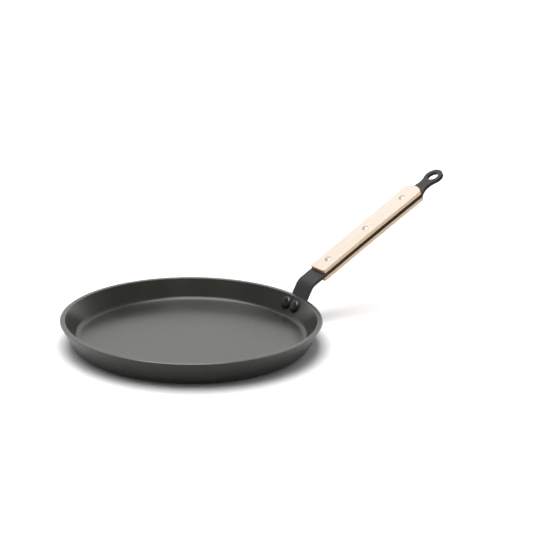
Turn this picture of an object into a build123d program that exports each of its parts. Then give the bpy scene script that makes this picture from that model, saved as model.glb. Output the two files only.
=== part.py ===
from build123d import *
from math import asin, cos, radians, sin, sqrt, tan
import os

# A crepe pan: a thick shallow body with a flared wall, a bent metal strip riveted to the
# wall, and two wooden scales riveted to the strip. Millimetres, +Z up. The origin is the
# middle of the base's underside, and the handle points along +X.

# Pan body
rim_radius = 130.2
pan_height = 27.2
wall_flare = 28.5
wall_thickness = 4.8
floor_thickness = 7.5
inner_corner_radius = 6.0
base_chamfer = 2.2
rim_chamfer = 0.6

# Handle strip, from the foot on the wall to the hanging eye; the two gaps count from the
# scales' rear end to where the neck starts and to the eye's middle
strip_thickness = 3.8
strip_width = 23.8
foot_depth = 20.0
foot_width = 34.0
foot_corner_radius = 6.0
foot_shoulder_radius = 5.0
foot_neck_depth = 3.0
foot_shoulder_depth = 8.5
bend_height = 14.6
bend_radius = 11.0
grip_angle = 28.6
neck_gap = 4.7
neck_width = 14.2
neck_blend_radius = 18.0
eye_gap = 23.3
eye_radius = 10.6
eye_hole_radius = 6.0

# Wooden scales; distances along the grip count from the upper scale's front end, and the
# lower scale starts a little nearer the pan
scale_start = 18.8
scale_length = 144.0
scale_thickness = 4.0
waist_width = 23.2
waist_distance = 68.0
rear_width = 25.0
rear_end_radius = 18.3
front_corner_radius = 3.0
rear_corner_radius = 2.0
scale_edge_chamfer = 0.8
lower_scale_lead = 3.0

# Rivets through the wall and the foot
pan_rivet_drop = 11.8
pan_rivet_spacing = 15.0
pan_rivet_shank_radius = 2.5
pan_rivet_head_radius = 6.9
pan_rivet_head_height = 3.0
pan_rivet_flat_radius = 3.8
pan_rivet_head_rim = 0.6
pan_rivet_tail_radius = 5.0
pan_rivet_tail_height = 2.0

# Rivets through the scales and the strip
scale_rivet_front_margin = 16.2
scale_rivet_rear_margin = 20.8
scale_rivet_shank_radius = 2.0
scale_rivet_head_radius = 3.3
scale_rivet_head_height = 0.9

overrun = 2.0

# Worked out from the sizes above
lean = radians(wall_flare)
grip_pitch = radians(grip_angle)
inner_rim_radius = rim_radius - wall_thickness / cos(lean)
base_corner = rim_radius - pan_height * tan(lean)
floor_corner = inner_rim_radius - (pan_height - floor_thickness) * tan(lean)
bend_turn = 90.0 - wall_flare - grip_angle
bend_reach = (bend_radius + strip_thickness) * tan(radians(bend_turn / 2))
riser_height = bend_height - bend_reach
rear_sagitta = rear_end_radius - sqrt(rear_end_radius**2 - (rear_width / 2) ** 2)
rear_corner_distance = scale_length - rear_sagitta
neck_start = scale_length + neck_gap
eye_distance = scale_length + eye_gap
scale_rivet_reach = strip_thickness / 2 + scale_thickness
scale_rivet_distances = {
    "front": scale_rivet_front_margin,
    "middle": (scale_rivet_front_margin + scale_length - scale_rivet_rear_margin) / 2,
    "rear": scale_length - scale_rivet_rear_margin,
}

# The wall's outside under the handle: local X across the handle, local Y up the wall
wall_plane = Plane(
    origin=(rim_radius, 0, pan_height),
    x_dir=(0, 1, 0),
    z_dir=(cos(lean), 0, -sin(lean)),
)

# The wall's section a quarter turn before the handle: local X out of the wall, local Y up it
wall_section_plane = Plane(
    origin=(0, -rim_radius, pan_height),
    x_dir=(0, -cos(lean), -sin(lean)),
    z_dir=(-1, 0, 0),
)

# The end of the strip's straight riser: local Y points back into the pan
riser_plane = Plane(
    origin=wall_plane.from_local_coords((0, riser_height, 0)),
    x_dir=(0, 1, 0),
    z_dir=wall_plane.y_dir,
)

bend_axis = Axis(
    riser_plane.from_local_coords((0, -bend_radius - strip_thickness, 0)),
    (0, 1, 0),
)

# The grip's upper face: local X along the grip from the upper scale's front end, local Z up
bend_corner = wall_plane.from_local_coords((0, bend_height, 0))
grip_direction = Vector(cos(grip_pitch), 0, sin(grip_pitch))
grip_plane = Plane(
    origin=bend_corner + grip_direction * scale_start,
    x_dir=grip_direction,
    z_dir=(-sin(grip_pitch), 0, cos(grip_pitch)),
)
under_plane = grip_plane.offset(-strip_thickness)


def wall_rivet_plane(side):
    """Seat of one wall rivet: the origin on the wall's outside, local Z out of the pan."""
    radius = rim_radius - pan_rivet_drop * sin(lean)
    turn = side * asin(pan_rivet_spacing / 2 / radius)
    return Plane(
        origin=(radius * cos(turn), radius * sin(turn), pan_height - pan_rivet_drop * cos(lean)),
        x_dir=(-sin(turn), cos(turn), 0),
        z_dir=(cos(lean) * cos(turn), cos(lean) * sin(turn), -sin(lean)),
    )


def scale_rivet_plane(distance):
    """Seat of one scale rivet: the origin in the middle of the strip, local Z as the grip's."""
    return Plane(
        origin=grip_plane.from_local_coords((distance, 0, -strip_thickness / 2)),
        x_dir=grip_plane.x_dir,
        z_dir=grip_plane.z_dir,
    )


def profile_plane(seat):
    """Plane through a rivet's axis: local X is the radius and local Y the seat's normal."""
    return Plane(origin=seat.origin, x_dir=seat.x_dir, z_dir=-seat.y_dir)


pan_rivet_seats = {"left": wall_rivet_plane(1), "right": wall_rivet_plane(-1)}
scale_rivet_seats = {
    place: scale_rivet_plane(distance) for place, distance in scale_rivet_distances.items()
}


# Pan body: a turned profile, round where the floor meets the wall inside and bevelled outside
with BuildPart() as pan_body:
    with BuildSketch(Plane.XZ):
        with BuildLine():
            section = FilletPolyline(
                (0, 0),
                (base_corner, 0),
                (rim_radius, pan_height),
                (inner_rim_radius, pan_height),
                (floor_corner, floor_thickness),
                (0, floor_thickness),
                radius=(0, 0, 0, inner_corner_radius),
            )
            Line(section @ 1, section @ 0)
        make_face()
    revolve(axis=Axis.Z)
    chamfer(pan_body.edges().group_by(Axis.Z)[0], base_chamfer)
    chamfer(pan_body.edges().group_by(Axis.Z)[-1], rim_chamfer)
    for seat in pan_rivet_seats.values():
        with BuildSketch(seat):
            Circle(pan_rivet_shank_radius)
        extrude(amount=-(wall_thickness + overrun), mode=Mode.SUBTRACT)


# Handle strip: the foot is formed to the cone of the wall, then the strip flattens, bends
# outwards and runs straight to the eye
with BuildPart() as handle_strip:
    with BuildSketch(wall_section_plane):
        with Locations((0, overrun)):
            Rectangle(strip_thickness, foot_depth + 2 * overrun, align=(Align.MIN, Align.MAX))
    revolve(axis=Axis.Z, revolution_arc=180)
    with BuildSketch(wall_plane):
        with BuildLine():
            foot_side = [
                (strip_width / 2, 0),
                (strip_width / 2, -foot_neck_depth),
                (foot_width / 2, -foot_shoulder_depth),
                (foot_width / 2, -foot_depth),
            ]
            side_radii = (foot_shoulder_radius, foot_shoulder_radius, foot_corner_radius)
            foot_edge = FilletPolyline(
                *foot_side,
                *[(-across, up) for across, up in reversed(foot_side)],
                radius=side_radii + side_radii[::-1],
            )
            Line(foot_edge @ 1, foot_edge @ 0)
        make_face()
    extrude(amount=strip_thickness + overrun, both=True, mode=Mode.INTERSECT)

    foot_top = handle_strip.faces().sort_by(Axis(wall_plane.origin, wall_plane.y_dir))[-1]
    with BuildSketch(riser_plane) as riser_section:
        Rectangle(strip_width, strip_thickness, align=(Align.CENTER, Align.MAX))
    loft(sections=[foot_top, riser_section.sketch.face()])
    revolve(axis=bend_axis, revolution_arc=bend_turn)

    with BuildSketch(grip_plane) as strip_outline:
        with BuildLine():
            bend_end = (bend_reach - scale_start, strip_width / 2)
            Polyline((bend_end[0], 0), bend_end, (0, strip_width / 2))
            ThreePointArc(
                (0, strip_width / 2),
                (waist_distance, waist_width / 2),
                (rear_corner_distance, rear_width / 2),
            )
            FilletPolyline(
                (rear_corner_distance, rear_width / 2),
                (neck_start, neck_width / 2),
                (eye_distance, neck_width / 2),
                radius=neck_blend_radius,
            )
            mirror(about=Plane.XZ)
            Line((eye_distance, neck_width / 2), (eye_distance, -neck_width / 2))
        make_face()
        with Locations((eye_distance, 0)):
            Circle(eye_radius)
        eye_joins = strip_outline.vertices().filter_by_position(
            Axis.X, eye_distance - eye_radius, eye_distance
        )
        fillet(eye_joins, neck_blend_radius)
    extrude(amount=-strip_thickness)

    with BuildSketch(grip_plane):
        with Locations((eye_distance, 0)):
            Circle(eye_hole_radius)
    extrude(amount=-strip_thickness, mode=Mode.SUBTRACT)
    for seat in pan_rivet_seats.values():
        with BuildSketch(seat):
            Circle(pan_rivet_shank_radius)
        extrude(amount=strip_thickness + overrun, both=True, mode=Mode.SUBTRACT)
    for seat in scale_rivet_seats.values():
        with BuildSketch(seat):
            Circle(scale_rivet_shank_radius)
        extrude(amount=strip_thickness, both=True, mode=Mode.SUBTRACT)


def build_scale(seat_plane, outward, lead=0):
    """A wooden scale on the strip: outward is 1 above it and -1 below; lead lengthens its front."""
    with BuildPart() as scale:
        with BuildSketch(seat_plane) as scale_outline:
            with BuildLine():
                Line((0, 0), (0, strip_width / 2))
                ThreePointArc(
                    (0, strip_width / 2),
                    (waist_distance, waist_width / 2),
                    (rear_corner_distance, rear_width / 2),
                )
                RadiusArc((rear_corner_distance, rear_width / 2), (scale_length, 0), rear_end_radius)
                mirror(about=Plane.XZ)
            make_face()
            if lead:
                Rectangle(lead, strip_width, align=(Align.MAX, Align.CENTER))
            front_corners = scale_outline.vertices().filter_by_position(
                Axis.X, -lead - overrun, -lead + overrun
            )
            fillet(front_corners, front_corner_radius)
            rear_corners = scale_outline.vertices().filter_by_position(
                Axis.X, rear_corner_distance - overrun, rear_corner_distance + overrun
            )
            fillet(rear_corners, rear_corner_radius)
        extrude(amount=outward * scale_thickness)
        outer_face = scale.faces().sort_by(Axis(seat_plane.origin, seat_plane.z_dir * outward))[-1]
        chamfer(outer_face.edges(), scale_edge_chamfer)
        for seat in scale_rivet_seats.values():
            with BuildSketch(seat):
                Circle(scale_rivet_shank_radius)
            extrude(amount=outward * (scale_rivet_reach + overrun), mode=Mode.SUBTRACT)
    return scale


def build_pan_rivet(seat):
    """A wall rivet: a flat-topped button head inside the pan and a round tail on the foot."""
    head_seat = -wall_thickness
    head_top = head_seat - pan_rivet_head_height
    tail_top = strip_thickness + pan_rivet_tail_height
    with BuildPart() as rivet:
        with BuildSketch(profile_plane(seat)):
            with BuildLine():
                Polyline(
                    (0, head_seat / 2),
                    (0, head_top),
                    (pan_rivet_flat_radius, head_top),
                    (pan_rivet_head_radius, head_seat - pan_rivet_head_rim),
                    (pan_rivet_head_radius, head_seat / 2),
                    close=True,
                )
            make_face()
            with BuildLine():
                Polyline(
                    (0, strip_thickness / 2),
                    (pan_rivet_tail_radius, strip_thickness / 2),
                    (pan_rivet_tail_radius, tail_top),
                    (0, tail_top),
                    close=True,
                )
            make_face()
        revolve(axis=Axis(seat.origin, seat.z_dir))
        add(pan_body.part, mode=Mode.SUBTRACT)
        add(handle_strip.part, mode=Mode.SUBTRACT)
        with BuildSketch(seat.offset(head_seat - pan_rivet_head_rim)):
            Circle(pan_rivet_shank_radius)
        extrude(amount=wall_thickness + strip_thickness + 2 * pan_rivet_head_rim)
    return rivet


def build_scale_rivet(seat):
    """A scale rivet: a shank through strip and scales, with a low round head on each scale."""
    head_top = scale_rivet_reach + scale_rivet_head_height
    with BuildPart() as rivet:
        with BuildSketch(profile_plane(seat)):
            with BuildLine():
                Polyline(
                    (0, head_top),
                    (scale_rivet_head_radius, head_top),
                    (scale_rivet_head_radius, scale_rivet_reach),
                    (scale_rivet_shank_radius, scale_rivet_reach),
                    (scale_rivet_shank_radius, 0),
                    (0, 0),
                    close=True,
                )
            make_face()
            mirror(about=Plane.XZ)
        revolve(axis=Axis(seat.origin, seat.z_dir))
    return rivet


nodes = {
    "pan_body": pan_body,
    "handle_strip": handle_strip,
    "upper_scale": build_scale(grip_plane, 1),
    "lower_scale": build_scale(under_plane, -1, lower_scale_lead),
}
for side, seat in pan_rivet_seats.items():
    nodes[f"pan_rivet_{side}"] = build_pan_rivet(seat)
for place, seat in scale_rivet_seats.items():
    nodes[f"scale_rivet_{place}"] = build_scale_rivet(seat)

os.makedirs("parts", exist_ok=True)
for name, node in nodes.items():
    node.part.label = name
    export_step(node.part, f"parts/{name}.step")
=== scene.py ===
"""Crepe pan with a coated body, a riveted strap handle and two wooden scales.

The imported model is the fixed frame: metres, +Z up, the handle along +X. Every piece is
modelled again where its plain solid stands, with the soft edges and crowned rivet heads
that the solids leave out, and replaces that solid's node.
"""

import logging
import math
from dataclasses import dataclass
from enum import Enum
from typing import Callable, Optional, Sequence, Union

import bpy
from mathutils import Matrix, Vector


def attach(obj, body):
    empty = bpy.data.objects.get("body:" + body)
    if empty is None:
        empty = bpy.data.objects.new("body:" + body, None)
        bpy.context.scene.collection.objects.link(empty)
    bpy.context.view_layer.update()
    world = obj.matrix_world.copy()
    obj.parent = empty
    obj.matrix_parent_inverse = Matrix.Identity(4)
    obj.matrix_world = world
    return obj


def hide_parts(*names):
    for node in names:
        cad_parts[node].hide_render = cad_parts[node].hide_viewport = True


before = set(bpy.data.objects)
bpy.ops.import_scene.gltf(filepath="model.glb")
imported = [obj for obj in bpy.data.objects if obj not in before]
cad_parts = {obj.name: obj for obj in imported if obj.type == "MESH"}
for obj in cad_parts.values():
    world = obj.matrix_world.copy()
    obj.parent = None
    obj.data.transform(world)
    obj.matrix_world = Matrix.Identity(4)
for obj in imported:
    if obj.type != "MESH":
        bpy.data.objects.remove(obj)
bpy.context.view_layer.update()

log = logging.getLogger("crepe_pan")

BODY = "root"
MERGE_DISTANCE = 1e-6
PLACE_TOLERANCE = 1e-5
SHARP_ANGLE = math.radians(50)
RIVET_COLUMNS = 48
RIVET_SMOOTH_DEGREES = 40.0
UPRIGHT = (0.0, 0.0, 1.0)
SIDEWAYS = (0.0, 1.0, 0.0)

Point = tuple[float, float]
Range = tuple[float, float]
Colour = tuple[float, float, float]


def place_in_plane(origin: Vector, across: Vector, up: Vector, point: Point) -> Vector:
    """Returns the place of a point given in a plane's two directions."""
    return origin + across * point[0] + up * point[1]


def rounded_path(corners: Sequence[Point], radii: Sequence[float], steps: int) -> list[Point]:
    """Rounds the inner corners of an open path.

    Args:
        corners: The path's corners from end to end.
        radii: One radius for each inner corner; zero leaves it sharp.
        steps: The chords of each round.

    Returns:
        The points of the rounded path.
    """
    path = [corners[0]]
    for before, corner, after, radius in zip(corners, corners[1:], corners[2:], radii):
        if not radius:
            path.append(corner)
            continue
        here = Vector(corner)
        back, ahead = (Vector(before) - here).normalized(), (Vector(after) - here).normalized()
        half = back.angle(ahead) / 2
        centre = here + (back + ahead).normalized() * (radius / math.sin(half))
        reach = radius / math.tan(half)
        start, end = here + back * reach, here + ahead * reach
        sweep = (start - centre).angle_signed(end - centre)
        for step in range(steps + 1):
            turned = Matrix.Rotation(-sweep * step / steps, 2) @ (start - centre)
            path.append(tuple(centre + turned))
    path.append(corners[-1])
    return path


def arc_points(start: Point, middle: Point, end: Point, steps: int) -> list[Point]:
    """Divides the circular arc through three points.

    Args:
        start: The arc's first point.
        middle: A point on the way.
        end: The arc's last point.
        steps: The number of chords.

    Returns:
        The chords' ends in order.
    """
    (ax, ay), (bx, by), (cx, cy) = start, middle, end
    twice = 2 * (ax * (by - cy) + bx * (cy - ay) + cx * (ay - by))
    a2, b2, c2 = ax * ax + ay * ay, bx * bx + by * by, cx * cx + cy * cy
    centre = Vector((
        (a2 * (by - cy) + b2 * (cy - ay) + c2 * (ay - by)) / twice,
        (a2 * (cx - bx) + b2 * (ax - cx) + c2 * (bx - ax)) / twice,
    ))
    first, last = Vector(start) - centre, Vector(end) - centre
    sweep = first.angle_signed(last)
    return [
        tuple(centre + Matrix.Rotation(-sweep * step / steps, 2) @ first)
        for step in range(steps + 1)
    ]


class Workpiece:
    """One mesh under work, drawn vertex by vertex and then formed."""

    seed_size = 0.001

    def __init__(self, made: bpy.types.Object, tip: Vector) -> None:
        """Takes an object under work and the place of the vertex drawn last."""
        self.object = made
        self.tip = tip.copy()

    @classmethod
    def begin(cls, name: str, start: Vector) -> "Workpiece":
        """Adds the single vertex that a chain is extruded from.

        Args:
            name: The piece's name.
            start: The first vertex's place.

        Returns:
            The new workpiece, in edit mode.
        """
        bpy.ops.object.select_all(action="DESELECT")
        bpy.ops.mesh.primitive_plane_add(size=cls.seed_size, location=start)
        made = bpy.context.object
        made.name = made.data.name = name
        bpy.ops.object.transform_apply(location=True, rotation=True, scale=True)
        bpy.ops.object.mode_set(mode="EDIT")
        bpy.ops.mesh.select_mode(type="VERT")
        bpy.ops.mesh.select_all(action="SELECT")
        bpy.ops.mesh.merge(type="CENTER")
        return cls(made, start)

    def copy(
        self, name: str, move: Sequence[float] = (0.0, 0.0, 0.0), turn: float = 0.0
    ) -> "Workpiece":
        """Copies the piece with a mesh of its own and sets the copy in its place.

        Args:
            name: The copy's name.
            move: The way from the piece to the copy.
            turn: The angle that the copy is turned by round the frame's upright axis.

        Returns:
            The copy, its place in its mesh.
        """
        self.pick()
        bpy.ops.object.duplicate()
        made = bpy.context.object
        made.name = made.data.name = name
        made.location = move
        made.rotation_euler = (0.0, 0.0, turn)
        bpy.ops.object.transform_apply(location=True, rotation=True, scale=True)
        return Workpiece(made, self.tip)

    def pick(self) -> None:
        """Leaves edit mode with the piece alone selected."""
        bpy.ops.object.mode_set(mode="OBJECT")
        bpy.ops.object.select_all(action="DESELECT")
        self.object.select_set(True)
        bpy.context.view_layer.objects.active = self.object

    def extrude_to(self, place: Vector) -> None:
        """Extrudes what is selected by the way from the last place to the next.

        Args:
            place: The next place.
        """
        move = place - self.tip
        bpy.ops.mesh.extrude_region_move(TRANSFORM_OT_translate={"value": move})
        self.tip = place.copy()

    def spin(self, centre: Vector, axis: Vector, steps: int) -> None:
        """Turns the drawn chain once round an axis and closes it.

        Args:
            centre: A place on the axis.
            axis: The axis's direction.
            steps: The number of columns.
        """
        bpy.ops.mesh.select_all(action="SELECT")
        bpy.ops.mesh.spin(steps=steps, angle=math.tau, center=centre, axis=axis)
        self.close_up()

    def close_up(self) -> None:
        """Merges doubles and points every face outwards."""
        bpy.ops.mesh.select_all(action="SELECT")
        bpy.ops.mesh.remove_doubles(threshold=MERGE_DISTANCE)
        bpy.ops.mesh.normals_make_consistent(inside=False)

    def select_edges(self, keep: Callable[[Vector], bool]) -> None:
        """Selects the sharp edges whose two end places both pass a test.

        Args:
            keep: A function of a place that is true where the edge's end belongs.
        """
        bpy.ops.mesh.select_mode(type="EDGE")
        bpy.ops.mesh.select_all(action="DESELECT")
        bpy.ops.mesh.edges_select_sharp(sharpness=SHARP_ANGLE)
        bpy.ops.object.mode_set(mode="OBJECT")
        mesh = self.object.data
        kept = [
            edge.index for edge in mesh.edges
            if edge.select and all(keep(mesh.vertices[i].co) for i in edge.vertices)
        ]
        bpy.ops.object.mode_set(mode="EDIT")
        bpy.ops.mesh.select_all(action="DESELECT")
        bpy.ops.object.mode_set(mode="OBJECT")
        for index in kept:
            mesh.edges[index].select = True
        bpy.ops.object.mode_set(mode="EDIT")

    def modify(self, kind: str, **settings: object) -> None:
        """Adds a modifier with its settings and applies it.

        Args:
            kind: The modifier's type.
            **settings: Its properties.
        """
        bpy.ops.object.mode_set(mode="OBJECT")
        bpy.context.view_layer.objects.active = self.object
        modifier = self.object.modifiers.new(kind.title(), kind)
        for name, value in settings.items():
            setattr(modifier, name, value)
        bpy.ops.object.modifier_apply(modifier=modifier.name)

    def drill(
        self, centre: Vector, axis: Vector, radius: float, length: float, sides: int
    ) -> None:
        """Cuts a round hole right through the piece.

        Args:
            centre: The hole's middle.
            axis: Its direction.
            radius: Its radius.
            length: The cutter's length.
            sides: The cutter's sides.
        """
        bpy.ops.object.mode_set(mode="OBJECT")
        bpy.ops.object.select_all(action="DESELECT")
        turn = axis.to_track_quat("Z", "Y").to_euler()
        bpy.ops.mesh.primitive_cylinder_add(
            vertices=sides, radius=radius, depth=length, location=centre, rotation=turn
        )
        cutter = bpy.context.object
        self.modify("BOOLEAN", object=cutter, operation="DIFFERENCE", solver="EXACT")
        bpy.data.objects.remove(cutter)

    def finish(
        self,
        material: bpy.types.Material,
        slot: str,
        node: str,
        smooth_degrees: float,
        flat_faces: bool = False,
    ) -> None:
        """Smooths, dresses and seats the finished piece.

        Args:
            material: The finish.
            slot: The record's material slot; not used.
            node: The plain solid that the piece stands for.
            smooth_degrees: Edges that turn by more than this stay crisp.
            flat_faces: Whether the large faces keep a flat shade beside their rounded edges.
        """
        self.pick()
        bpy.ops.object.shade_smooth_by_angle(angle=math.radians(smooth_degrees))
        if flat_faces:
            self.modify("WEIGHTED_NORMAL", keep_sharp=True)
        self.object.data.materials.clear()
        self.object.data.materials.append(material)
        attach(self.object, BODY)
        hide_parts(node)


Value = Union[float, Sequence[float], "Signal"]


class Signal:
    """A node's output that takes part in arithmetic; each operation adds its Math node."""

    def __init__(self, graph: "ShaderGraph", socket: bpy.types.NodeSocket) -> None:
        """Wraps a socket of a graph."""
        self.graph = graph
        self.socket = socket

    def _math(self, operation: str, first: Value, second: Value = 0.0) -> "Signal":
        """Adds a Math node for an operation on two values."""
        return self.graph.node("ShaderNodeMath", {"operation": operation}, {0: first, 1: second})

    def __add__(self, other: Value) -> "Signal":
        """self + other"""
        return self._math("ADD", self, other)

    __radd__ = __add__

    def __sub__(self, other: Value) -> "Signal":
        """self - other"""
        return self._math("SUBTRACT", self, other)

    def __rsub__(self, other: Value) -> "Signal":
        """other - self"""
        return self._math("SUBTRACT", other, self)

    def __mul__(self, other: Value) -> "Signal":
        """self * other"""
        return self._math("MULTIPLY", self, other)


class ShaderGraph:
    """A node tree that is filled node by node, with a method for each group in common use."""

    def __init__(self, tree: bpy.types.NodeTree) -> None:
        """Empties the tree."""
        self.tree = tree
        tree.nodes.clear()

    def node(
        self,
        kind: str,
        settings: Optional[dict] = None,
        inputs: Optional[dict] = None,
        output: Union[int, str] = 0,
    ) -> Signal:
        """Adds a node.

        Args:
            kind: The node's type.
            settings: Its properties, set first.
            inputs: Values or signals by socket name or number.
            output: The output to return.

        Returns:
            The chosen output, or the first input of a node that has no outputs.
        """
        made = self.tree.nodes.new(kind)
        for name, value in (settings or {}).items():
            setattr(made, name, value)
        for key, value in (inputs or {}).items():
            if isinstance(value, Signal):
                self.tree.links.new(value.socket, made.inputs[key])
            else:
                made.inputs[key].default_value = value
        return Signal(self, made.outputs[output] if made.outputs else made.inputs[0])

    def blend(self, factor: Value, first: Value, second: Value) -> Signal:
        """Returns the mix of two colours by the second one's share."""
        inputs = {0: factor, 6: first, 7: second}
        return self.node("ShaderNodeMix", {"data_type": "RGBA"}, inputs, output=2)

    def dot(self, first: Value, second: Sequence[float]) -> Signal:
        """Finds how far a direction agrees with a fixed one.

        Args:
            first: The direction.
            second: The fixed one.

        Returns:
            Their dot product.
        """
        inputs = {0: first, 1: tuple(second)}
        return self.node(
            "ShaderNodeVectorMath", {"operation": "DOT_PRODUCT"}, inputs, output="Value"
        )

    def part_of(self, place: Value, axis: str) -> Signal:
        """Returns a place's or a direction's part along X, Y or Z."""
        return self.node("ShaderNodeSeparateXYZ", {}, {0: place}, output=axis)

    def facing(self, axis: Sequence[float], low: float, high: float) -> Signal:
        """Finds the faces that look either way along an axis.

        Args:
            axis: The axis, as a unit direction.
            low: The cosine where the mask starts.
            high: The cosine where it is full.

        Returns:
            The mask.
        """
        across = self.dot(self.node("ShaderNodeTexCoord", output="Normal"), axis)
        return self.step(
            self.node("ShaderNodeMath", {"operation": "ABSOLUTE"}, {0: across}), low, high
        )

    def noise(self, place: Signal, scale: float, detail: float, roughness: float = 0.5) -> Signal:
        """Returns a noise with so many features per metre and so many finer layers."""
        inputs = {"Vector": place, "Scale": scale, "Detail": detail, "Roughness": roughness}
        return self.node("ShaderNodeTexNoise", {}, inputs)

    def step(
        self, value: Value, low: float, high: float, to_low: float = 0.0, to_high: float = 1.0
    ) -> Signal:
        """Maps a value smoothly from one range to another.

        Args:
            value: The value.
            low: The value at the low end.
            high: The value at the high end.
            to_low: The result at the low end.
            to_high: The result at the high end.

        Returns:
            The mapped value.
        """
        ends = {"From Min": low, "From Max": high, "To Min": to_low, "To Max": to_high}
        return self.node(
            "ShaderNodeMapRange", {"interpolation_type": "SMOOTHSTEP"}, {"Value": value, **ends}
        )

    def surface(self, settings: dict, height: Signal, relief: float) -> None:
        """Adds the surface's shader, its fine relief and the material's output.

        Args:
            settings: The shader's inputs by name.
            height: The relief's pattern.
            relief: The relief's height in metres.
        """
        bump = self.node(
            "ShaderNodeBump", {}, {"Strength": 1.0, "Distance": relief, "Height": height}
        )
        shader = self.node("ShaderNodeBsdfPrincipled", {}, {**settings, "Normal": bump})
        self.node("ShaderNodeOutputMaterial", {}, {"Surface": shader})


def new_material(name: str) -> tuple[bpy.types.Material, ShaderGraph]:
    """Makes an empty node material.

    Args:
        name: Its name.

    Returns:
        The material and the graph to fill it with.
    """
    material = bpy.data.materials.new(name)
    material.use_nodes = True
    return material, ShaderGraph(material.node_tree)


def rgba(colour: Colour) -> tuple[float, float, float, float]:
    """Adds full alpha to a colour."""
    return (*colour, 1.0)


@dataclass(frozen=True)
class CoatedFinish:
    """A dark baked coating: fine grain and faint clouding, with painted shade on the side edges
    or a painted highlight on the rim's bevel.
    """

    name: str
    colour: Colour
    pale_colour: Colour
    roughness: float
    roughness_spread: float
    grain_scale: float
    cloud_scale: float
    grain_height: float
    ior: float = 1.5
    grain_share: float = 0.3
    tint_limits: Range = (0.35, 0.7)
    # Painted shade: a brown-black colour for the side edges that lie in the shaded gap between
    # the scales.
    gap_shade_colour: Optional[Colour] = None
    gap_shade_start: float = 0.0
    gap_shade_fade: float = 0.002
    gap_shade_limits: Range = (0.3, 0.8)
    # Painted highlight: a pale grey on the rim's bevel, for the bright line along the rim.
    bevel_highlight_colour: Optional[Colour] = None
    highlight_height: float = 0.0
    highlight_fade: float = 0.0004
    highlight_base: float = 0.4
    bevel_low: Range = (0.55, 0.68)
    bevel_high: Range = (0.97, 0.9)

    def build(self) -> bpy.types.Material:
        """Makes the coating.

        Returns:
            The material.
        """
        material, graph = new_material(self.name)
        place = graph.node("ShaderNodeTexCoord", output="Object")
        grain = graph.noise(place, self.grain_scale, detail=3.0, roughness=0.6)
        cloud = graph.noise(place, self.cloud_scale, detail=4.0)
        mixed = grain * self.grain_share + cloud * (1.0 - self.grain_share)
        tint = graph.step(mixed, *self.tint_limits)
        colour = graph.blend(tint, rgba(self.colour), rgba(self.pale_colour))
        if self.gap_shade_colour:
            colour = self._paint_gap_shade(graph, place, colour)
        if self.bevel_highlight_colour:
            colour = self._paint_bevel_highlight(graph, place, colour, cloud + self.highlight_base)
        roughness = self.roughness + (cloud - 0.5) * self.roughness_spread
        settings = {"Base Color": colour, "Roughness": roughness, "IOR": self.ior}
        graph.surface(settings, grain, self.grain_height)
        return material

    def _paint_gap_shade(self, graph: ShaderGraph, place: Signal, colour: Signal) -> Signal:
        """Paints a brown-black shade on the side edges beyond the place where the scales begin,
        for the shade in the gap between the scales.

        Args:
            graph: The material's graph.
            place: The place on the piece.
            colour: The colour so far.

        Returns:
            The colour with the browned edges.
        """
        lengthways = graph.part_of(place, "X")
        start = self.gap_shade_start
        grip = graph.step(lengthways, start - self.gap_shade_fade, start + self.gap_shade_fade)
        # Painted shade: the sideways faces beyond the scales' front end get the dark colour.
        edge = graph.facing(SIDEWAYS, *self.gap_shade_limits) * grip
        return graph.blend(edge, colour, rgba(self.gap_shade_colour))

    def _paint_bevel_highlight(
        self, graph: ShaderGraph, place: Signal, colour: Signal, strength: Signal
    ) -> Signal:
        """Wears the rim's bevel, found by its height and by how far it tilts.

        Args:
            graph: The material's graph.
            place: The place on the piece.
            colour: The colour so far.
            strength: How strong the painted highlight is from place to place.

        Returns:
            The colour with the worn bevel.
        """
        height = graph.part_of(place, "Z")
        tilt = graph.part_of(graph.node("ShaderNodeTexCoord", output="Normal"), "Z")
        bevel = graph.step(tilt, *self.bevel_low) * graph.step(tilt, *self.bevel_high)
        rim = graph.step(height, self.highlight_height, self.highlight_height + self.highlight_fade)
        return graph.blend(bevel * rim * strength, colour, rgba(self.bevel_highlight_colour))


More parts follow.
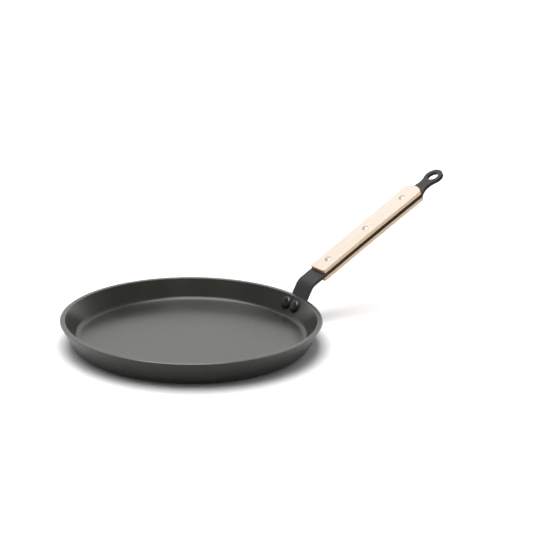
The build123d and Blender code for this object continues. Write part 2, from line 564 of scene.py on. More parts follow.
@dataclass(frozen=True)
class WoodFinish:
    """Pale sanded beech: long growth lines, fine pores and flecks, with a painted orange shade on
    the sides and a painted dark brown shade on both ends.
    """

    name: str
    pale_colour: Colour
    dark_colour: Colour
    fleck_colour: Colour
    # Painted shade: the sides' orange tint and the ends' dark brown stand for how the shaded
    # faces look.
    side_shade_colour: Colour
    end_shade_colour: Colour
    grain_degrees: float
    roughness: float = 0.55
    roughness_spread: float = 0.15
    ior: float = 1.45
    line_stretch: float = 0.06
    line_scale: float = 260.0
    line_share: float = 0.65
    pore_scale: float = 1400.0
    tone_limits: Range = (0.36, 0.66)
    fleck_stretch: float = 0.22
    fleck_scale: float = 1900.0
    fleck_limits: Range = (0.66, 0.76)
    fleck_strength: float = 0.45
    fleck_depth: float = 0.6
    side_shade_limits: Range = (0.4, 0.9)
    end_shade_limits: Range = (0.5, 0.9)
    shade_base: float = 0.8
    relief: float = 0.00005

    def build(self) -> bpy.types.Material:
        """Makes the wood.

        Returns:
            The material.
        """
        material, graph = new_material(self.name)
        lean = math.radians(self.grain_degrees)
        place = graph.node("ShaderNodeTexCoord", output="Object")
        turned = {"Vector": place, "Rotation": (0.0, -lean, 0.0)}
        along = graph.node("ShaderNodeMapping", {"vector_type": "TEXTURE"}, turned)
        long_place = self._stretch(graph, along, self.line_stretch)
        bands = graph.noise(long_place, self.line_scale, detail=3.0, roughness=0.55)
        fine = graph.noise(long_place, self.pore_scale, detail=3.0, roughness=0.6)
        fleck_place = self._stretch(graph, along, self.fleck_stretch)
        spots = graph.noise(fleck_place, self.fleck_scale, detail=1.0, roughness=0.4)
        flecks = graph.step(spots, *self.fleck_limits)
        mixed = bands * self.line_share + fine * (1.0 - self.line_share)
        tone = graph.step(mixed, *self.tone_limits)
        colour = graph.blend(tone, rgba(self.dark_colour), rgba(self.pale_colour))
        colour = graph.blend(flecks * self.fleck_strength, colour, rgba(self.fleck_colour))
        # Painted shade: faces that look sideways get the orange shade colour and both ends the
        # dark brown one, stronger where the grain is pale.
        shade_strength = self.shade_base + tone * (1.0 - self.shade_base)
        sides = graph.facing(SIDEWAYS, *self.side_shade_limits) * shade_strength
        colour = graph.blend(sides, colour, rgba(self.side_shade_colour))
        ends = graph.facing((math.cos(lean), 0.0, math.sin(lean)), *self.end_shade_limits) * shade_strength
        colour = graph.blend(ends, colour, rgba(self.end_shade_colour))
        roughness = self.roughness + (fine - 0.5) * self.roughness_spread
        settings = {"Base Color": colour, "Roughness": roughness, "IOR": self.ior}
        graph.surface(settings, fine - flecks * self.fleck_depth, self.relief)
        return material

    @staticmethod
    def _stretch(graph: ShaderGraph, place: Signal, scale: float) -> Signal:
        """Returns a place whose first part is scaled, which draws a pattern out that way."""
        inputs = {"Vector": place, "Scale": (scale, 1.0, 1.0)}
        return graph.node("ShaderNodeMapping", {}, inputs)


@dataclass(frozen=True)
class BareMetalFinish:
    """Satin bare metal with the fine marks of the riveting tool."""

    name: str
    colour: Colour
    roughness: float = 0.42
    roughness_spread: float = 0.12
    mark_scale: float = 2600.0
    dull_scale: float = 500.0
    dull_limits: Range = (0.4, 0.7)
    dull_share: float = 0.86
    relief: float = 0.00003

    def build(self) -> bpy.types.Material:
        """Makes the metal.

        Returns:
            The material.
        """
        material, graph = new_material(self.name)
        place = graph.node("ShaderNodeTexCoord", output="Object")
        marks = graph.noise(place, self.mark_scale, detail=4.0, roughness=0.65)
        clouds = graph.noise(place, self.dull_scale, detail=2.0)
        dull = graph.step(clouds, *self.dull_limits)
        dull_colour = tuple(self.dull_share * part for part in self.colour)
        colour = graph.blend(dull, rgba(self.colour), rgba(dull_colour))
        roughness = self.roughness + marks * self.roughness_spread
        settings = {"Base Color": colour, "Metallic": 1.0, "Roughness": roughness}
        graph.surface(settings, marks, self.relief)
        return material


@dataclass
class PanBody:
    """The turned pan: flat base, flared wall of even thickness and rounded corners."""

    rim_radius: float = 0.1302
    height: float = 0.0272
    flare: float = math.radians(28.5)
    wall: float = 0.0048
    floor: float = 0.0075
    corner_start: float = 0.1102
    corner_top: float = 0.0107
    outer_corner: float = 0.014
    rim_bevel: float = 0.0013
    rim_bevel_fall: float = math.radians(38)
    rim_round: float = 0.00025
    rim_inner_round: float = 0.0005
    columns: int = 256
    corner_steps: int = 12
    crease_share: float = 0.01
    wall_rings: int = 6
    rings_from: float = 0.09
    floor_ring: float = 0.02
    hole_sides: int = 48
    smooth_degrees: float = 40.0

    @property
    def wall_out(self) -> Vector:
        """The direction out of the wall, under the handle."""
        return Vector((math.cos(self.flare), 0.0, -math.sin(self.flare)))

    @property
    def wall_up(self) -> Vector:
        """The direction up the wall's outside, under the handle."""
        return Vector((math.sin(self.flare), 0.0, math.cos(self.flare)))

    @property
    def rim(self) -> Vector:
        """The outer rim corner under the handle."""
        return Vector((self.rim_radius, 0.0, self.height))

    def profile(self) -> list[Point]:
        """Draws the turned section.

        Returns:
            Its (radius, height) points from the floor's middle round to the base's middle.
        """
        slope = math.tan(self.flare)
        inner_rim = self.rim_radius - self.wall / math.cos(self.flare)
        base_edge = self.rim_radius - self.height * slope
        hollow = self._hollow(inner_rim - (self.height - self.corner_top) * slope)
        bevel_out = self.rim_bevel * math.sin(math.pi / 2 - self.rim_bevel_fall)
        bevel_down = self.rim_bevel * math.sin(self.rim_bevel_fall)
        edge = self.rim_radius - bevel_down * slope
        corners = [
            hollow[-1],
            (inner_rim, self.height),
            (edge - bevel_out, self.height),
            (edge, self.height - bevel_down),
            (base_edge, 0.0),
            (0.0, 0.0),
        ]
        radii = (self.rim_inner_round, self.rim_round, self.rim_round, self.outer_corner)
        outside = rounded_path(corners, radii, self.corner_steps)
        crease = Vector(outside[0]).lerp(Vector(outside[1]), self.crease_share)
        return self._with_rings([(0.0, self.floor), *hollow, tuple(crease), *outside[1:]])

    def _hollow(self, top_radius: float) -> list[Point]:
        """Draws the hollow that rises from the floor and meets the wall at a faint crease.

        Args:
            top_radius: The hollow's radius where it meets the wall.

        Returns:
            Its (radius, height) points from the floor upwards.
        """
        reach, rise = top_radius - self.corner_start, self.corner_top - self.floor
        radius = (reach**2 + rise**2) / (2 * rise)
        turn = math.asin(reach / radius)
        turns = [turn * step / self.corner_steps for step in range(self.corner_steps + 1)]
        turns.insert(-1, turn * (1.0 - self.crease_share))
        start, floor = self.corner_start, self.floor
        return [
            (start + radius * math.sin(angle), floor + radius * (1 - math.cos(angle)))
            for angle in turns
        ]

    def _with_rings(self, path: list[Point]) -> list[Point]:
        """Divides the long straight stretches, so that the faces stay compact.

        Args:
            path: The section.

        Returns:
            The section with more points.
        """
        wall_ring = (self.height - self.floor) / self.wall_rings
        divided = [path[0]]
        for start, end in zip(path, path[1:]):
            way = Vector(end) - Vector(start)
            longest = wall_ring if start[0] > self.rings_from else self.floor_ring
            pieces = max(1, math.ceil(way.length / longest))
            divided += [tuple(Vector(start) + way * (i / pieces)) for i in range(1, pieces + 1)]
        return divided

    def build(self, material: bpy.types.Material, rivets: "WallRivets") -> Workpiece:
        """Turns the body, drills the rivet holes and dresses it.

        Args:
            material: The coating.
            rivets: The rivets that pass through the wall.

        Returns:
            The finished workpiece.
        """
        points = [Vector((radius, 0.0, height)) for radius, height in self.profile()]
        piece = Workpiece.begin("PanBody", points[0])
        for point in points[1:]:
            piece.extrude_to(point)
        piece.spin(Vector(), Vector(UPRIGHT), self.columns)
        for seat in rivets.seats():
            middle = seat.origin - seat.out * self.wall / 2
            piece.drill(middle, seat.out, rivets.shank_radius, self.wall * 2, self.hole_sides)
        piece.finish(material, "pan_coating", "pan_body", self.smooth_degrees)
        return piece


@dataclass(frozen=True)
class Seat:
    """A rivet's seat: a place, the rivet's axis and a direction square to it."""

    origin: Vector
    out: Vector
    side: Vector


def turned_rivet(name: str, seat: Seat, profile: Sequence[Point]) -> Workpiece:
    """Draws a rivet's section and turns it about the rivet's axis.

    Args:
        name: The rivet's name.
        seat: Its seat.
        profile: The section as (across, along the axis) points from end to end.

    Returns:
        The turned workpiece.
    """
    points = [place_in_plane(seat.origin, seat.side, seat.out, point) for point in profile]
    piece = Workpiece.begin(name, points[0])
    for point in points[1:]:
        piece.extrude_to(point)
    piece.spin(seat.origin, seat.out, RIVET_COLUMNS)
    return piece


@dataclass
class HandleStrap:
    """The flat strap: a foot formed to the wall, a bend, the waisted grip and the eye."""

    pan: PanBody
    thickness: float = 0.0038
    width: float = 0.0238
    foot_depth: float = 0.020
    foot_width: float = 0.034
    foot_corner: float = 0.006
    foot_shoulder: float = 0.005
    foot_neck_depth: float = 0.003
    foot_shoulder_depth: float = 0.0085
    foot_release: float = 0.004
    bend_height: float = 0.0146
    bend_radius: float = 0.011
    grip_angle: float = math.radians(28.6)
    scale_start: float = 0.0188
    scale_length: float = 0.144
    waist_width: float = 0.0232
    waist_distance: float = 0.068
    rear_width: float = 0.025
    rear_end_radius: float = 0.0183
    neck_gap: float = 0.0047
    neck_width: float = 0.0142
    neck_blend: float = 0.018
    eye_gap: float = 0.0233
    eye_radius: float = 0.0106
    eye_hole: float = 0.006
    eye_hole_sides: int = 64
    tip_angle: float = math.radians(2.5)
    edge_round: float = 0.00045
    edge_segments: int = 3
    straight_margin: float = 0.0009
    flat_tolerance: float = 2e-6
    cutter_share: float = 3.0
    wall_hole_sides: int = 48
    grip_hole_sides: int = 32
    columns: int = 10
    foot_steps: int = 8
    bend_steps: int = 16
    waist_steps: int = 24
    neck_steps: int = 10
    throat_steps: int = 8
    eye_steps: int = 32
    smooth_degrees: float = 35.0

    @property
    def along(self) -> Vector:
        """The direction along the grip, away from the pan."""
        return Vector((math.cos(self.grip_angle), 0.0, math.sin(self.grip_angle)))

    @property
    def above(self) -> Vector:
        """The direction out of the grip's upper face."""
        return Vector((-math.sin(self.grip_angle), 0.0, math.cos(self.grip_angle)))

    @property
    def side(self) -> Vector:
        """The direction across the handle."""
        return Vector(SIDEWAYS)

    @property
    def grip_origin(self) -> Vector:
        """The upper face's middle at the scales' front end."""
        corner = self.pan.rim + self.pan.wall_up * self.bend_height
        return corner + self.along * self.scale_start

    @property
    def rear_corner(self) -> float:
        """The distance along the grip to the scales' rear corners."""
        radius, half = self.rear_end_radius, self.rear_width / 2
        return self.scale_length - radius + math.sqrt(radius**2 - half**2)

    @property
    def eye_distance(self) -> float:
        """The distance along the grip to the eye's middle."""
        return self.scale_length + self.eye_gap

    def waist(self, steps: int) -> list[Point]:
        """Draws the waisted edge from the scales' front end to their rear corner.

        Args:
            steps: The number of chords.

        Returns:
            Its (along, across) points.
        """
        return arc_points(
            (0.0, self.width / 2),
            (self.waist_distance, self.waist_width / 2),
            (self.rear_corner, self.rear_width / 2),
            steps,
        )

    def foot_rows(self) -> list[tuple[Vector, float]]:
        """Sets the rows of the foot from its lower edge to the rim.

        Returns:
            Each row's middle and half width.
        """
        corners = [
            (-self.foot_depth, 0.0),
            (-self.foot_depth, self.foot_width / 2),
            (-self.foot_shoulder_depth, self.foot_width / 2),
            (-self.foot_neck_depth, self.width / 2),
            (0.0, self.width / 2),
        ]
        radii = (self.foot_corner, self.foot_shoulder, self.foot_shoulder)
        path = rounded_path(corners, radii, self.foot_steps)
        return [(self.pan.rim + self.pan.wall_up * up, half) for up, half in path[1:]]

    def bend_rows(self) -> list[tuple[Vector, float]]:
        """Sets the rows of the riser's end and of the bend.

        Returns:
            Each row's middle and half width.
        """
        up, out = self.pan.wall_up, self.pan.wall_out
        turn = math.pi / 2 - self.pan.flare - self.grip_angle
        radius = self.bend_radius + self.thickness
        riser = self.pan.rim + up * (self.bend_height - radius * math.tan(turn / 2))
        rows = []
        for step in range(self.bend_steps + 1):
            angle = turn * step / self.bend_steps
            offset = up * math.sin(angle) + out * (1 - math.cos(angle))
            rows.append((riser + offset * radius, self.width / 2))
        return rows

    def grip_rows(self) -> list[tuple[Vector, float]]:
        """Sets the rows of the grip, the neck and the eye.

        Returns:
            Each row's middle and half width.
        """
        eye, radius = self.eye_distance, self.eye_radius
        half_neck, blend = self.neck_width / 2, self.neck_blend
        path = self.waist(self.waist_steps)
        corners = [path[-1], (self.scale_length + self.neck_gap, half_neck), (eye, half_neck)]
        path += rounded_path(corners, (blend,), self.neck_steps)[1:-1]
        centre_up = half_neck + blend
        centre_back = math.sqrt((radius + blend) ** 2 - centre_up**2)
        join = math.atan2(centre_up, centre_back)
        for step in range(self.throat_steps + 1):
            angle = math.pi / 2 - (math.pi / 2 - join) * step / self.throat_steps
            along = eye - centre_back + blend * math.cos(angle)
            path.append((along, centre_up - blend * math.sin(angle)))
        first, last = math.pi - join, self.tip_angle
        for step in range(1, self.eye_steps + 1):
            angle = first + (last - first) * step / self.eye_steps
            path.append((eye + radius * math.cos(angle), radius * math.sin(angle)))
        return [(self.grip_origin + self.along * along, half) for along, half in path]

    def build(
        self,
        material: bpy.types.Material,
        pan: Workpiece,
        wall: "WallRivets",
        grip: "ScaleRivets",
    ) -> Workpiece:
        """Draws the strap's sheet, wraps its foot, thickens, rounds, drills and dresses it.

        Args:
            material: The strap's coating.
            pan: The finished pan body.
            wall: The rivets through the foot.
            grip: The rivets through the grip.

        Returns:
            The finished workpiece.
        """
        piece = self._draw_sheet()
        self._wrap_foot(piece, pan)
        piece.modify("SOLIDIFY", thickness=self.thickness, offset=1.0, use_even_offset=True)
        bpy.ops.object.mode_set(mode="EDIT")
        piece.close_up()
        cutter = self.thickness * self.cutter_share
        eye = self.grip_origin + self.along * self.eye_distance - self.above * self.thickness / 2
        piece.drill(eye, self.above, self.eye_hole, cutter, self.eye_hole_sides)
        self._join_flat_faces(piece)
        self._round_edges(piece)
        for seat in wall.seats():
            middle = seat.origin + seat.out * self.thickness / 2
            piece.drill(middle, seat.out, wall.shank_radius, cutter, self.wall_hole_sides)
        for seat in grip.seats():
            piece.drill(seat.origin, seat.out, grip.shank_radius, cutter, self.grip_hole_sides)
        bpy.ops.object.mode_set(mode="EDIT")
        piece.close_up()
        smooth = self.smooth_degrees
        piece.finish(material, "strip_paint", "handle_strip", smooth, flat_faces=True)
        return piece

    def _draw_sheet(self) -> Workpiece:
        """Draws the strap's inner face row by row.

        Returns:
            The sheet, one face thick.
        """
        rows = self.foot_rows() + self.bend_rows() + self.grip_rows()
        place, half = rows[0]
        piece = Workpiece.begin("HandleStrap", place - self.side * half)
        for column in range(1, self.columns + 1):
            piece.extrude_to(place + self.side * half * (2 * column / self.columns - 1))
        bpy.ops.mesh.select_all(action="SELECT")
        piece.tip = place
        for next_place, next_half in rows[1:]:
            way, growth = (next_place - place).length, abs(next_half - half)
            if max(way, growth) < MERGE_DISTANCE:
                continue
            piece.extrude_to(next_place)
            bpy.ops.transform.resize(
                value=(1.0, next_half / half, 1.0), center_override=next_place
            )
            place, half = next_place, next_half
        return piece

    def _wrap_foot(self, piece: Workpiece, pan: Workpiece) -> None:
        """Lays the foot's rows on the round wall and lets them leave it below the rim.

        Args:
            piece: The strap's sheet.
            pan: The finished pan body.
        """
        bpy.ops.object.mode_set(mode="OBJECT")
        group = piece.object.vertex_groups.new(name="foot")
        for vertex in piece.object.data.vertices:
            below_rim = (self.pan.rim - vertex.co).dot(self.pan.wall_up)
            if below_rim > PLACE_TOLERANCE:
                group.add([vertex.index], min(1.0, below_rim / self.foot_release), "REPLACE")
        piece.modify(
            "SHRINKWRAP", target=pan.object, wrap_method="NEAREST_SURFACEPOINT",
            vertex_group=group.name,
        )
        piece.object.vertex_groups.clear()

    def _join_flat_faces(self, piece: Workpiece) -> None:
        """Joins the faces in the grip's two planes, so that the edge rounds have room.

        Args:
            piece: The thickened strap.
        """
        bpy.ops.object.mode_set(mode="EDIT")
        piece.close_up()
        bpy.ops.mesh.select_mode(type="FACE")
        bpy.ops.mesh.select_all(action="DESELECT")
        bpy.ops.object.mode_set(mode="OBJECT")
        mesh = piece.object.data
        origin, above = self.grip_origin, self.above
        for face in mesh.polygons:
            levels = [(mesh.vertices[i].co - origin).dot(above) for i in face.vertices]
            face.select = any(
                all(abs(level - plane) < self.flat_tolerance for level in levels)
                for plane in (0.0, -self.thickness)
            )
        bpy.ops.object.mode_set(mode="EDIT")
        bpy.ops.mesh.dissolve_limited(angle_limit=math.radians(1))

    def _round_edges(self, piece: Workpiece) -> None:
        """Rounds the outline's edges, apart from the foot's lower end.

        Args:
            piece: The thickened strap, its flat faces joined.
        """
        straight = -self.foot_depth + self.foot_corner - self.straight_margin
        piece.select_edges(lambda place: (place - self.pan.rim).dot(self.pan.wall_up) > straight)
        bpy.ops.mesh.bevel(
            offset=self.edge_round, segments=self.edge_segments, affect="EDGES",
            clamp_overlap=False,
        )


class Face(Enum):
    """The strap's face that a scale lies on."""

    UPPER = 1
    LOWER = -1


@dataclass
class WoodenScale:
    """A wooden scale: waisted sides, rounded front corners and a bowed rear end."""

    strap: HandleStrap
    face: Face
    name: str
    node: str
    lead: float = 0.0
    thickness: float = 0.004
    front_corner: float = 0.003
    rear_corner: float = 0.002
    edge_round: float = 0.0008
    edge_segments: int = 5
    inner_round: float = 0.0003
    inner_segments: int = 2
    waist_steps: int = 28
    front_steps: int = 8
    bow_steps: int = 14
    bow_share: float = 0.52
    rear_steps: int = 5
    hole_sides: int = 32
    smooth_degrees: float = 35.0

    def outline(self) -> list[Point]:
        """Draws one half of the outline.

        Returns:
            Its (along, across) points from the front end's middle to the rear end's.
        """
        strap = self.strap
        waist = strap.waist(self.waist_steps)
        corners = [(-self.lead, 0.0), (-self.lead, waist[0][1]), waist[2]]
        front = rounded_path(corners, (self.front_corner,), self.front_steps)
        end = (strap.scale_length, 0.0)
        bow = strap.rear_end_radius
        half = waist[-1][1] * self.bow_share
        middle = (end[0] - bow + math.sqrt(bow**2 - half**2), half)
        rear = arc_points(waist[-1], middle, end, self.bow_steps)
        corners = [waist[-3], waist[-1], rear[3]]
        corner = rounded_path(corners, (self.rear_corner,), self.rear_steps)
        return front[:-1] + waist[3:-3] + corner[1:-1] + rear[4:]

    def build(self, material: bpy.types.Material, rivets: "ScaleRivets") -> Workpiece:
        """Draws the outline, extrudes and rounds the block, drills and dresses it.

        Args:
            material: The wood.
            rivets: The rivets that pass through the scale.

        Returns:
            The finished workpiece.
        """
        strap = self.strap
        outward = strap.above * self.face.value
        seat = strap.grip_origin
        if self.face is Face.LOWER:
            seat += outward * strap.thickness
        half = self.outline()
        path = half + [(along, -across) for along, across in reversed(half[1:-1])]
        points = [place_in_plane(seat, strap.along, strap.side, point) for point in path]
        piece = Workpiece.begin(self.name, points[0])
        for point in points[1:] + points[:1]:
            piece.extrude_to(point)
        bpy.ops.mesh.select_all(action="SELECT")
        bpy.ops.mesh.remove_doubles(threshold=MERGE_DISTANCE)
        bpy.ops.mesh.edge_face_add()
        piece.tip = Vector()
        piece.extrude_to(outward * self.thickness)
        piece.close_up()
        for level, radius, segments in (
            (self.thickness, self.edge_round, self.edge_segments),
            (0.0, self.inner_round, self.inner_segments),
        ):
            piece.select_edges(
                lambda place: abs((place - seat).dot(outward) - level) < PLACE_TOLERANCE
            )
            bpy.ops.mesh.bevel(
                offset=radius, segments=segments, affect="EDGES", clamp_overlap=True
            )
        piece.close_up()
        for rivet in rivets.seats():
            middle = rivet.origin + outward * (strap.thickness + self.thickness) / 2
            piece.drill(
                middle, outward, rivets.shank_radius, self.thickness * 2, self.hole_sides
            )
        piece.finish(material, "scale_wood", self.node, self.smooth_degrees, flat_faces=True)
        return piece


@dataclass
class WallRivets:
    """The two rivets through the wall and the foot."""

    pan: PanBody
    strap_thickness: float = 0.0038
    drop: float = 0.0118
    spacing: float = 0.015
    shank_radius: float = 0.0025
    head_radius: float = 0.0069
    head_height: float = 0.003
    head_rim: float = 0.0006
    crown_radius: float = 0.005
    crown_drop: float = 0.0001
    crown_round: float = 0.0034
    tail_radius: float = 0.005
    tail_height: float = 0.002
    tail_edge: float = 0.0003
    tail_slope: float = 0.0012
    tail_round: float = 0.0015
    crown_steps: int = 9
    tail_steps: int = 6

    @property
    def seat_radius(self) -> float:
        """The distance of the seats from the pan's axis."""
        return self.pan.rim_radius - self.drop * math.sin(self.pan.flare)

    @property
    def half_turn(self) -> float:
        """The angle from the handle's middle to a rivet, round the pan's axis."""
        return math.asin(self.spacing / 2 / self.seat_radius)

    def seats(self) -> list[Seat]:
        """Finds where the rivets pass the wall's outside.

        Returns:
            The left and the right seat.
        """
        height = self.pan.height - self.drop * math.cos(self.pan.flare)
        seats = []
        for side in (1, -1):
            turn = Matrix.Rotation(side * self.half_turn, 3, "Z")
            seats.append(Seat(
                origin=turn @ Vector((self.seat_radius, 0.0, height)),
                out=turn @ self.pan.wall_out,
                side=turn @ Vector(SIDEWAYS),
            ))
        return seats

    def profile(self) -> list[Point]:
        """Draws the section of one rivet.

        Returns:
            Its (across, along the axis) points from the head's middle to the tail's.
        """
        seat = -self.pan.wall
        top = seat - self.head_height
        strap, tail = self.strap_thickness, self.strap_thickness + self.tail_height
        corners = [
            (0.0, top),
            (self.crown_radius, top + self.crown_drop),
            (self.head_radius, seat - self.head_rim),
        ]
        head = rounded_path(corners, (self.crown_round,), self.crown_steps)
        corners = [
            (self.tail_radius, strap + self.tail_edge),
            (self.tail_radius - self.tail_slope, tail),
            (0.0, tail),
        ]
        return [
            *head,
            (self.head_radius, seat),
            (self.shank_radius, seat),
            (self.shank_radius, strap - self.tail_edge),
            (self.tail_radius, strap - self.tail_edge),
            *rounded_path(corners, (self.tail_round,), self.tail_steps),
        ]

    def build(self, material: bpy.types.Material) -> list[Workpiece]:
        """Turns one rivet, copies it round the pan's axis and dresses both.

        Args:
            material: The rivets' coating.

        Returns:
            The finished workpieces.
        """
        seat = self.seats()[0]
        left = turned_rivet("WallRivet_left", seat, self.profile())
        right = left.copy("WallRivet_right", turn=-2 * self.half_turn)
        for piece, side in ((left, "left"), (right, "right")):
            node = f"pan_rivet_{side}"
            piece.finish(material, "pan_rivet_metal", node, RIVET_SMOOTH_DEGREES)
        return [left, right]


@dataclass
class ScaleRivets:
    """The three rivets through both scales and the strap."""

    strap: HandleStrap
    scale_thickness: float = 0.004
    front_margin: float = 0.0162
    rear_margin: float = 0.0208
    shank_radius: float = 0.002
    head_radius: float = 0.0033
    head_height: float = 0.0009
    head_rim: float = 0.00015
    head_sink: float = 0.0001
    crown_reach: float = 0.6
    crown_rise: float = 0.66
    crown_steps: int = 8

    def seats(self) -> list[Seat]:
        """Finds where the rivets pass the middle of the strap's thickness.

        Returns:
            The front, the middle and the rear seat.
        """
        strap = self.strap
        rear = strap.scale_length - self.rear_margin
        middle = strap.grip_origin - strap.above * strap.thickness / 2
        return [
            Seat(origin=middle + strap.along * distance, out=strap.above, side=strap.side)
            for distance in (self.front_margin, (self.front_margin + rear) / 2, rear)
        ]

    def profile(self) -> list[Point]:
        """Draws the section of one rivet.

        Returns:
            Its (across, along the axis) points from the upper head's middle to the lower's.
        """
        wood = self.strap.thickness / 2 + self.scale_thickness
        rim = wood + self.head_rim
        rise = (self.head_height - self.head_rim) * self.crown_rise
        crown = arc_points(
            (0.0, wood + self.head_height),
            (self.head_radius * self.crown_reach, rim + rise),
            (self.head_radius, rim),
            self.crown_steps,
        )
        under = wood - self.head_sink
        upper = [*crown, (self.head_radius, under), (self.shank_radius, under)]
        return upper + [(across, -up) for across, up in reversed(upper)]

    def build(self, material: bpy.types.Material) -> list[Workpiece]:
        """Turns one rivet, copies it along the grip and dresses all three.

        Args:
            material: The bare metal.

        Returns:
            The finished workpieces.
        """
        first, middle, rear = self.seats()
        front = turned_rivet("ScaleRivet_front", first, self.profile())
        pieces = {"front": front}
        for place, seat in (("middle", middle), ("rear", rear)):
            pieces[place] = front.copy(f"ScaleRivet_{place}", move=seat.origin - first.origin)
        for place, piece in pieces.items():
            node = f"scale_rivet_{place}"
            piece.finish(material, "scale_rivet_metal", node, RIVET_SMOOTH_DEGREES)
        return list(pieces.values())


@dataclass
class Studio:
    """The plain pale floor, the soft lights round the object and the camera."""

    azimuth: float = math.radians(-35.29)
    elevation: float = math.radians(18.33)
    roll: float = math.radians(-1.014)
    distance: float = 2.08
    target: tuple[float, float, float] = (0.0780, -0.0399, 0.0640)
    lens: float = 135.3
    sensor: float = 36.0
    clip: Range = (0.05, 50.0)
    back_level: float = 1.25
    front_level: float = 0.24
    back_drop: float = 0.35
    level_limits: Range = (0.12, 0.8)
    top_light_size: Point = (1.07, 1.4)
    top_light_height: float = 1.3
    top_light_shift: Point = (-0.16, 0.0)
    top_light_level: float = 4.9
    floor_size: float = 12.0
    floor_grey: float = 0.8
    floor_white: float = 1.0
    glow_limits: Range = (0.15, 1.6)

    @property
    def away(self) -> Vector:
        """The level direction from the photograph's viewpoint to the object."""
        return Vector((-math.sin(self.azimuth), math.cos(self.azimuth), 0.0))

    @property
    def rightwards(self) -> Vector:
        """The level direction to the right as seen in the photograph."""
        return Vector((math.cos(self.azimuth), math.sin(self.azimuth), 0.0))

    def build(self) -> None:
        """Makes the camera, the surroundings, the floor and the lights."""
        self._camera()
        self._world()
        self._floor()
        self._top_light()
        bpy.context.scene.view_settings.view_transform = "Standard"

    def _camera(self) -> None:
        """Sets the camera at the photograph's viewing angle."""
        back = Vector((
            math.sin(self.azimuth) * math.cos(self.elevation),
            -math.cos(self.azimuth) * math.cos(self.elevation),
            math.sin(self.elevation),
        ))
        data = bpy.data.cameras.new("Camera")
        data.lens = self.lens
        data.sensor_width = self.sensor
        data.clip_start, data.clip_end = self.clip
        camera = bpy.data.objects.new("Camera", data)
        bpy.context.scene.collection.objects.link(camera)
        camera.location = Vector(self.target) + back * self.distance
        camera.rotation_mode = "QUATERNION"
        level = (-back).to_track_quat("-Z", "Y")
        camera.rotation_quaternion = level @ Matrix.Rotation(-self.roll, 3, "Z").to_quaternion()
        bpy.context.scene.camera = camera

    def _world(self) -> None:
        """Makes surroundings that are white behind the object and dim on the viewer's side."""
        world = bpy.data.worlds.new("Studio")
        bpy.context.scene.world = world
        world.use_nodes = True
        graph = ShaderGraph(world.node_tree)
        direction = graph.node("ShaderNodeTexCoord", output="Generated")
        facing = graph.dot(direction, self.away - Vector(UPRIGHT) * self.back_drop)
        level = graph.step(facing, *self.level_limits, self.front_level, self.back_level)
        seen = graph.node("ShaderNodeLightPath", output="Is Camera Ray")
        strength = level + (1.0 - level) * seen
        white = (1.0, 1.0, 1.0, 1.0)
        light = graph.node("ShaderNodeBackground", {}, {"Color": white, "Strength": strength})
        graph.node("ShaderNodeOutputWorld", {}, {"Surface": light})

    def _floor(self) -> None:
        """Lays the pale floor, white to the camera where nothing shades it."""
        bpy.ops.object.select_all(action="DESELECT")
        bpy.ops.mesh.primitive_plane_add(size=self.floor_size)
        floor = bpy.context.object
        floor.name = "Floor"
        material, graph = new_material("FloorPaper")
        seen = graph.node("ShaderNodeLightPath", output="Is Camera Ray")
        grey, white = (rgba((level,) * 3) for level in (self.floor_grey, self.floor_white))
        place = graph.node("ShaderNodeTexCoord", output="Object")
        length = {"operation": "LENGTH"}
        distance = graph.node("ShaderNodeVectorMath", length, {0: place}, output="Value")
        paper = graph.node("ShaderNodeBsdfDiffuse", {}, {"Color": graph.blend(seen, grey, white)})
        strength = graph.step(distance, *self.glow_limits) * seen
        glow = graph.node("ShaderNodeEmission", {}, {"Strength": strength})
        shader = graph.node("ShaderNodeAddShader", {}, {0: paper, 1: glow})
        graph.node("ShaderNodeOutputMaterial", {}, {"Surface": shader})
        floor.data.materials.append(material)

    def _top_light(self) -> None:
        """Hangs the large soft light over the object."""
        data = bpy.data.lights.new("TopLight", "AREA")
        data.shape = "RECTANGLE"
        data.size, data.size_y = self.top_light_size
        data.energy = self.top_light_level * math.pi * data.size * data.size_y
        light = bpy.data.objects.new("TopLight", data)
        across, back = self.top_light_shift
        up = Vector(UPRIGHT) * self.top_light_height
        light.location = self.rightwards * across + self.away * back + up
        light.rotation_euler = (0.0, 0.0, self.azimuth)
        light.visible_camera = False
        bpy.context.scene.collection.objects.link(light)


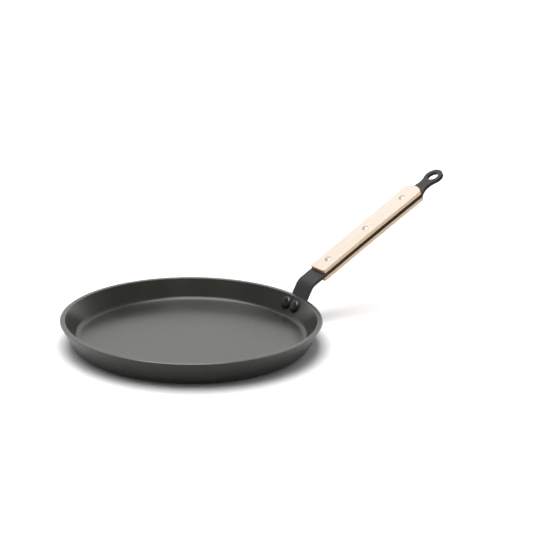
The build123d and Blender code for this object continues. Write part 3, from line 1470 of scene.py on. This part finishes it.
def main() -> None:
    """Builds the studio and the pan's pieces in order and reports each one."""
    logging.basicConfig(level=logging.INFO, format="%(name)s: %(message)s")
    Studio().build()

    coating = CoatedFinish(
        "PanCoating",
        colour=(0.0228, 0.0240, 0.0188),
        pale_colour=(0.0300, 0.0315, 0.0258),
        roughness=0.25,
        roughness_spread=0.10,
        grain_scale=2200.0,
        cloud_scale=24.0,
        grain_height=0.00001,
        # Painted highlight: the rim's bevel is made pale grey, with a patchy strength.
        bevel_highlight_colour=(0.13, 0.13, 0.125),
        highlight_height=0.0258,
    ).build()
    strap_coating = CoatedFinish(
        "StrapCoating",
        colour=(0.022, 0.023, 0.022),
        pale_colour=(0.031, 0.032, 0.031),
        roughness=0.45,
        roughness_spread=0.08,
        grain_scale=2600.0,
        cloud_scale=60.0,
        grain_height=0.00002,
        ior=1.42,
        # Painted shade: the strap's side edges between the scales are darkened to brown-black.
        gap_shade_colour=(0.012, 0.006, 0.002),
        gap_shade_start=0.158,
    ).build()
    rivet_coating = CoatedFinish(
        "RivetCoating",
        colour=(0.011, 0.013, 0.0125),
        pale_colour=(0.017, 0.019, 0.0185),
        roughness=0.2,
        roughness_spread=0.05,
        grain_scale=2600.0,
        cloud_scale=90.0,
        grain_height=0.000005,
    ).build()
    wood = WoodFinish(
        "Beech",
        pale_colour=(0.735, 0.645, 0.56),
        dark_colour=(0.71, 0.605, 0.51),
        fleck_colour=(0.55, 0.41, 0.29),
        # Painted shade: orange on the scales' sides and dark brown on both ends.
        side_shade_colour=(0.98, 0.735, 0.49),
        end_shade_colour=(0.62, 0.34, 0.17),
        grain_degrees=28.6,
    ).build()
    bare = BareMetalFinish("BareRivet", colour=(0.47, 0.44, 0.41)).build()

    pan = PanBody()
    strap = HandleStrap(pan)
    wall_rivets = WallRivets(pan)
    scale_rivets = ScaleRivets(strap)
    upper = WoodenScale(strap, Face.UPPER, "UpperScale", "upper_scale")
    lower = WoodenScale(strap, Face.LOWER, "LowerScale", "lower_scale", lead=0.003)
    pan_piece = pan.build(coating, wall_rivets)
    pieces = [
        pan_piece,
        strap.build(strap_coating, pan_piece, wall_rivets, scale_rivets),
        upper.build(wood, scale_rivets),
        lower.build(wood, scale_rivets),
        *wall_rivets.build(rivet_coating),
        *scale_rivets.build(bare),
    ]
    for piece in pieces:
        log.info("%s: %d faces", piece.object.name, len(piece.object.data.polygons))


if __name__ == "__main__":
    main()
